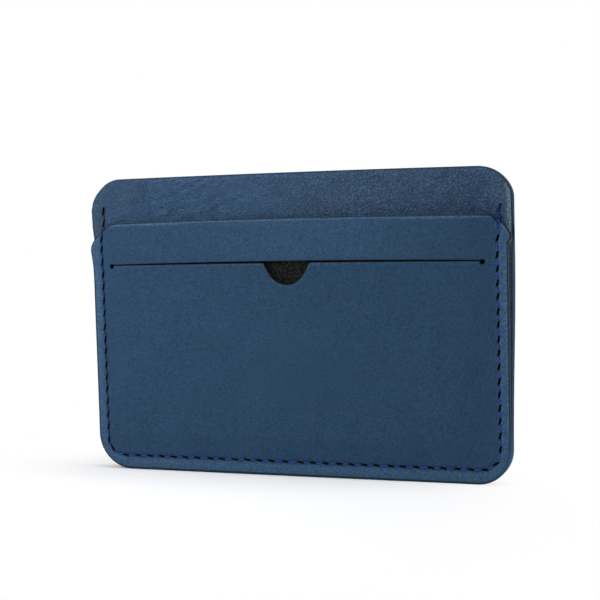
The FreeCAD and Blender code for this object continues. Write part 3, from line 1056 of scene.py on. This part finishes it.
def leather(name, dark, light, pale, rim, pebble_mm, creased, shading, relief_mm, gloss):
    """Dyed full-grain cowhide, waxed: matt, finely pebbled, creased where it was bent.

    The creases run long and flat at the left of the holder, short and steep at its right, and
    fade at the far left, where the hide is also a little darker. The margin turns to the pale
    colour, and highlights painted on the lit rims turn them to their own colour.
    """
    made, add, spot = new_material(name)
    pebbles = add("TexNoise", {"Vector": spot, "Scale": 1 / (pebble_mm * MM), "Detail": 1.5,
                  "Roughness": 0.6})
    x = add("SeparateXYZ", {0: spot}).outputs["X"]
    right = add("MapRange", {"Value": x, "From Min": -20 * MM, "From Max": 10 * MM}, **SOFT)
    flat = creases(add, spot, degrees=16, long_mm=2.8, wide_mm=0.3, depth=0.62)
    steep = creases(add, spot, degrees=38, long_mm=0.75, wide_mm=0.3, depth=1.0)
    net = add("Mix", {"Factor": right, 2: flat, 3: steep})
    bent = add("MapRange", {"Value": x, "From Min": -44 * MM, "From Max": -26 * MM,
               "To Min": 0.4 * creased, "To Max": creased}, **SOFT)
    height = add("Math", {0: net, 1: bent, 2: pebbles}, operation="MULTIPLY_ADD")

    # The dye is patchy and paler on the margin, with highlights painted on the lit rims; the light
    # and shade caught in the grain are painted into it
    mottle = add("TexNoise", {"Vector": spot, "Scale": 1 / (5.5 * MM), "Detail": 4.0,
                 "Roughness": 0.55})
    patches = add("MapRange", {"Value": mottle, "From Min": 0.3, "From Max": 0.7})
    dye = add("Mix", {"Factor": patches, 6: linear(dark), 7: linear(light)},
              data_type="RGBA").outputs[2]
    dye = paler_where_masked(add, spot, dye, "margin", size_mm=0.5, least=0.4, colour=pale)
    dye = paler_where_masked(add, spot, dye, "rim", size_mm=0.5, least=0.2, colour=rim)
    shade = add("MapRange", {"Value": height, "To Min": 1 - shading, "To Max": 1 + shading},
                clamp=False)
    # Darker towards the strip's far left
    darker_far_left = add("MapRange", {"Value": bent, "From Min": 0.4 * creased, "From Max": creased,
                 "To Min": 1 - 0.6 * creased})
    dull = add("MapRange", {"Value": pebbles, "From Min": 0.3, "From Max": 0.7, "To Min": 0.62,
               "To Max": 0.5})
    return finished(made, add, toned(add, dye, shade, darker_far_left),
                    {"Roughness": dull, "Specular IOR Level": gloss}, height, relief_mm)


def painted_edge(name, dark, light):
    """Edge paint over sanded leather: a thin dark film, semi-matt, slightly uneven.

    It carries painted shade in the mouth's corners, where the edges lie in shadow, and painted
    light from the white floor at the lower right corner.
    """
    made, add, spot = new_material(name)
    dye, uneven = mottled(add, spot, 0.9, dark, light, detail=3.0)
    tones = []
    # One mask darkens the paint with painted shade in the mouth's corners, the other pales it with
    # painted light at the lower right corner
    for attribute, tone in (("shut", MOUTH_SHADE_TONE), ("worn", FLOOR_BOUNCE_TONE)):
        mask = add("Attribute", attribute_name=attribute).outputs["Fac"]
        tones.append(add("MapRange", {"Value": mask, "To Min": 1.0, "To Max": tone}))
    return finished(made, add, toned(add, dye, *tones),
                    {"Roughness": 0.6, "Specular IOR Level": 0.08}, uneven, 0.05)


def flesh_side():
    """The split side of dyed leather: brushed, dull, with a short nap."""
    made, add, spot = new_material("brushed_flesh_side")
    dye, nap = mottled(add, spot, 0.35, "#1C2B3A", "#35485C", detail=4.0)
    return finished(made, add, dye, {"Roughness": 0.9, "Sheen Weight": 0.2}, nap, 0.08)


def shaded_cut_wall():
    """Painted shade in the cut walls of the awl holes, the slit and the notch: near black, because
    no light reaches them.
    """
    made, add, spot = new_material("shaded_cut_walls")
    dye = mottled(add, spot, 0.15, "#07090C", "#141A21")[0]
    return finished(made, add, dye, {"Roughness": 0.9, "Specular IOR Level": 0.2})


def black_cloth(thread_mm=0.3, slub_mm=0.35):
    """Plain-woven polyester lining, black: the crossing threads give a faint, uneven weave.

    Its threads are drawn 0.3 mm apart, which is coarser than real, so that they show.
    """
    made, add, spot = new_material("woven_black_lining")
    parts = add("SeparateXYZ", {0: spot})
    waves = []
    for axis in ("X", "Z"):
        phase = add("Math", {0: parts.outputs[axis], 1: math.pi / (thread_mm * MM)},
                    operation="MULTIPLY")
        waves.append(add("Math", {0: phase}, operation="SINE"))
    weave = add("Math", {0: waves[0], 1: waves[1]}, operation="MULTIPLY")
    slub = add("TexNoise", {"Vector": spot, "Scale": 1 / (slub_mm * MM), "Detail": 2.0})
    uneven = add("Math", {0: slub, 1: 9.0, 2: -5.1}, operation="MULTIPLY_ADD")
    crossed = add("Math", {0: weave, 1: uneven}, operation="ADD")
    over = add("MapRange", {"Value": crossed, "From Min": -1.0})
    dye = add("Mix", {"Factor": over, 6: linear("#000000"), 7: linear("#2B2B2C")},
              data_type="RGBA").outputs[2]
    return finished(made, add, dye, {"Roughness": 0.8, "Sheen Weight": 0.05,
                    "Specular IOR Level": 0.12}, over, 0.05)


def blue_thread():
    """Bonded polyester thread, dyed royal blue; painted shade darkens it at the mouths and down
    the left side, where it lies in shadow.
    """
    made, add, spot = new_material("blue_polyester_thread")
    dye, fibre = mottled(add, spot, 0.3, "#112B68", "#2D59AC")
    parts = add("SeparateXYZ", {0: spot}).outputs
    # Painted shade: darker above the mouths' height and at the far left
    thread_shade = [add("MapRange", {"Value": parts[axis], "From Min": start * MM,
             "From Max": end * MM, "To Min": near, "To Max": far})
             for axis, start, end, near, far in (("Z", 54, 57, 1.0, 0.45),
                                                 ("X", -47, -44, 0.45, 1.0))]
    return finished(made, add, toned(add, dye, *thread_shade),
                    {"Roughness": 0.5, "Specular IOR Level": 0.2}, fibre, 0.02)


# Studio

def seen_rays(add):
    """1 for what the lens or a shiny or clear piece sees, 0 for light that falls on a piece."""
    rays = add("LightPath").outputs
    mirrored = add("Math", {0: rays["Is Camera Ray"], 1: rays["Is Glossy Ray"]},
                   operation="MAXIMUM")
    return add("Math", {0: mirrored, 1: rays["Is Transmission Ray"]}, operation="MAXIMUM")


def studio_floor():
    """A white floor that keeps the holder's soft shadow and fades into the white room."""
    made, add, spot = new_material("white_studio_floor")
    along = add("VectorMath", {0: spot, 1: FLOOR_STRETCH}, operation="MULTIPLY")
    away = add("VectorMath", {0: along, 1: FLOOR_CLEAR_PLACE}, operation="DISTANCE")
    far = add("MapRange", {"Value": away.outputs["Value"], "From Min": FLOOR_FADE_START * MM,
              "From Max": FLOOR_FADE_END * MM}, **SOFT)
    white = add("Math", {0: far, 1: seen_rays(add)}, operation="MULTIPLY")
    paper = add("BsdfDiffuse", {"Color": linear("#FDFDFE")})
    room = add("Emission", {"Color": linear("#FFFFFF"), "Strength": 1.0})
    shader = add("MixShader", {0: white, 1: paper, 2: room})
    add("OutputMaterial", {"Surface": shader})
    corners = [(FLOOR_REACH * x, FLOOR_REACH * y, 0)
               for x, y in ((-1, -1), (1, -1), (1, 1), (-1, 1))]
    floor = mesh_object("studio_floor", corners, [(0, 1, 2, 3)])
    floor.data.materials.append(made)


def lamp(name, place, aim, width, power):
    """A square softbox at a place, aimed at a point; millimetres and watts."""
    light = bpy.data.lights.new(name, "AREA")
    light.shape = "SQUARE"
    light.size = width * MM
    light.energy = power
    made = placed(name, light)
    made.location = Vector(place) * MM
    made.rotation_euler = (Vector(aim) - Vector(place)).to_track_quat("-Z", "Y").to_euler()


def studio():
    """The floor, three softboxes and a white room that lights the holder only weakly."""
    studio_floor()
    lamp("key_softbox", place=(-125, -129, 133), aim=(-35, 0, 40), width=135, power=0.25)
    lamp("top_softbox", place=(40, -54, 445), aim=(0, -20, 20), width=300, power=0.8)
    lamp("side_softbox", place=(300, 0, 225), aim=(50, 0, 40), width=200, power=0.464)
    world = bpy.data.worlds.new("white_room")
    bpy.context.scene.world = world
    world.use_nodes = True
    world.node_tree.nodes.clear()
    add = adder(world.node_tree)
    level = add("MapRange", {"Value": seen_rays(add), "To Min": ROOM_LIGHT, "To Max": 1.0})
    sky = add("Background", {"Color": linear("#FFFFFF"), "Strength": level})
    add("OutputWorld", {"Surface": sky})
    bpy.context.scene.view_settings.view_transform = "Standard"


def camera():
    """A long lens at the front right, level with the upper part of the holder."""
    data = bpy.data.cameras.new("camera")
    data.lens = CAMERA_LENS
    data.sensor_width = 36
    data.clip_start = 0.01
    made = placed("camera", data)
    yaw, pitch, roll = (math.radians(a) for a in CAMERA_TURN)
    turn = (Matrix.Rotation(-yaw, 3, "Z") @ Matrix.Rotation(math.radians(90), 3, "X")
            @ Matrix.Rotation(-pitch, 3, "X") @ Matrix.Rotation(roll, 3, "Z"))
    made.matrix_world = Matrix.Translation(Vector(CAMERA_PLACE) * MM) @ turn.to_4x4()
    bpy.context.scene.camera = made


def assemble():
    """Makes every piece with its materials and puts it on the frame."""
    smooth_hide = leather("smooth_dyed_cowhide", dark="#1E3C58", light="#22405C",
                          pale="#3A5877", rim="#4A6A88", pebble_mm=0.42, creased=0.05,
                          shading=0.6, relief_mm=0.2, gloss=0.15)
    grained_hide = leather("grained_dyed_cowhide", dark="#2F5175", light="#375B80",
                           pale="#3C5B7A", rim="#7C97A6", pebble_mm=0.29, creased=0.42,
                           shading=0.95, relief_mm=0.7, gloss=0.3)
    back_hide = leather("plain_dyed_cowhide", dark="#2A4968", light="#305072",
                        pale="#3C5B7A", rim="#7C97A6", pebble_mm=0.33, creased=0.1,
                        shading=0.7, relief_mm=0.3, gloss=0.2)
    flesh, pierced = flesh_side(), shaded_cut_wall()
    paint = painted_edge("painted_leather_edge", dark="#182D40", light="#263E53")
    # A darker copy of the edge paint for the front panel: partly its own paint, partly painted
    # shade for the gap along its top edge
    front_paint_and_shade = painted_edge("painted_front_edge_and_shade", dark="#14283A", light="#22394D")
    thread = blue_thread()
    pieces = ((front_panel(), "front_panel", "smooth_leather",
               (smooth_hide, flesh, pierced, front_paint_and_shade)),
              (centre_panel(), "centre_panel", "grained_leather",
               (grained_hide, flesh, pierced, paint)),
              (back_panel(), "back_panel", "grained_leather",
               (flesh, back_hide, pierced, paint)),
              (lining(), "pocket_lining", "black_lining", (black_cloth(),)),
              (sewn_thread("needle_stitches", thread_path(front_depth, -1, NEEDLE_MEET), thread),
               "needle_thread", "blue_thread", ()),
              (sewn_thread("bobbin_stitches", thread_path(back_surface, 1, BOBBIN_MEET), thread),
               "bobbin_thread", "blue_thread", ()))
    for piece, node, slot, materials in pieces:
        for material in materials:
            piece.data.materials.append(material)
        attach(piece, "root")
        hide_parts(node)


camera()
studio()
assemble()
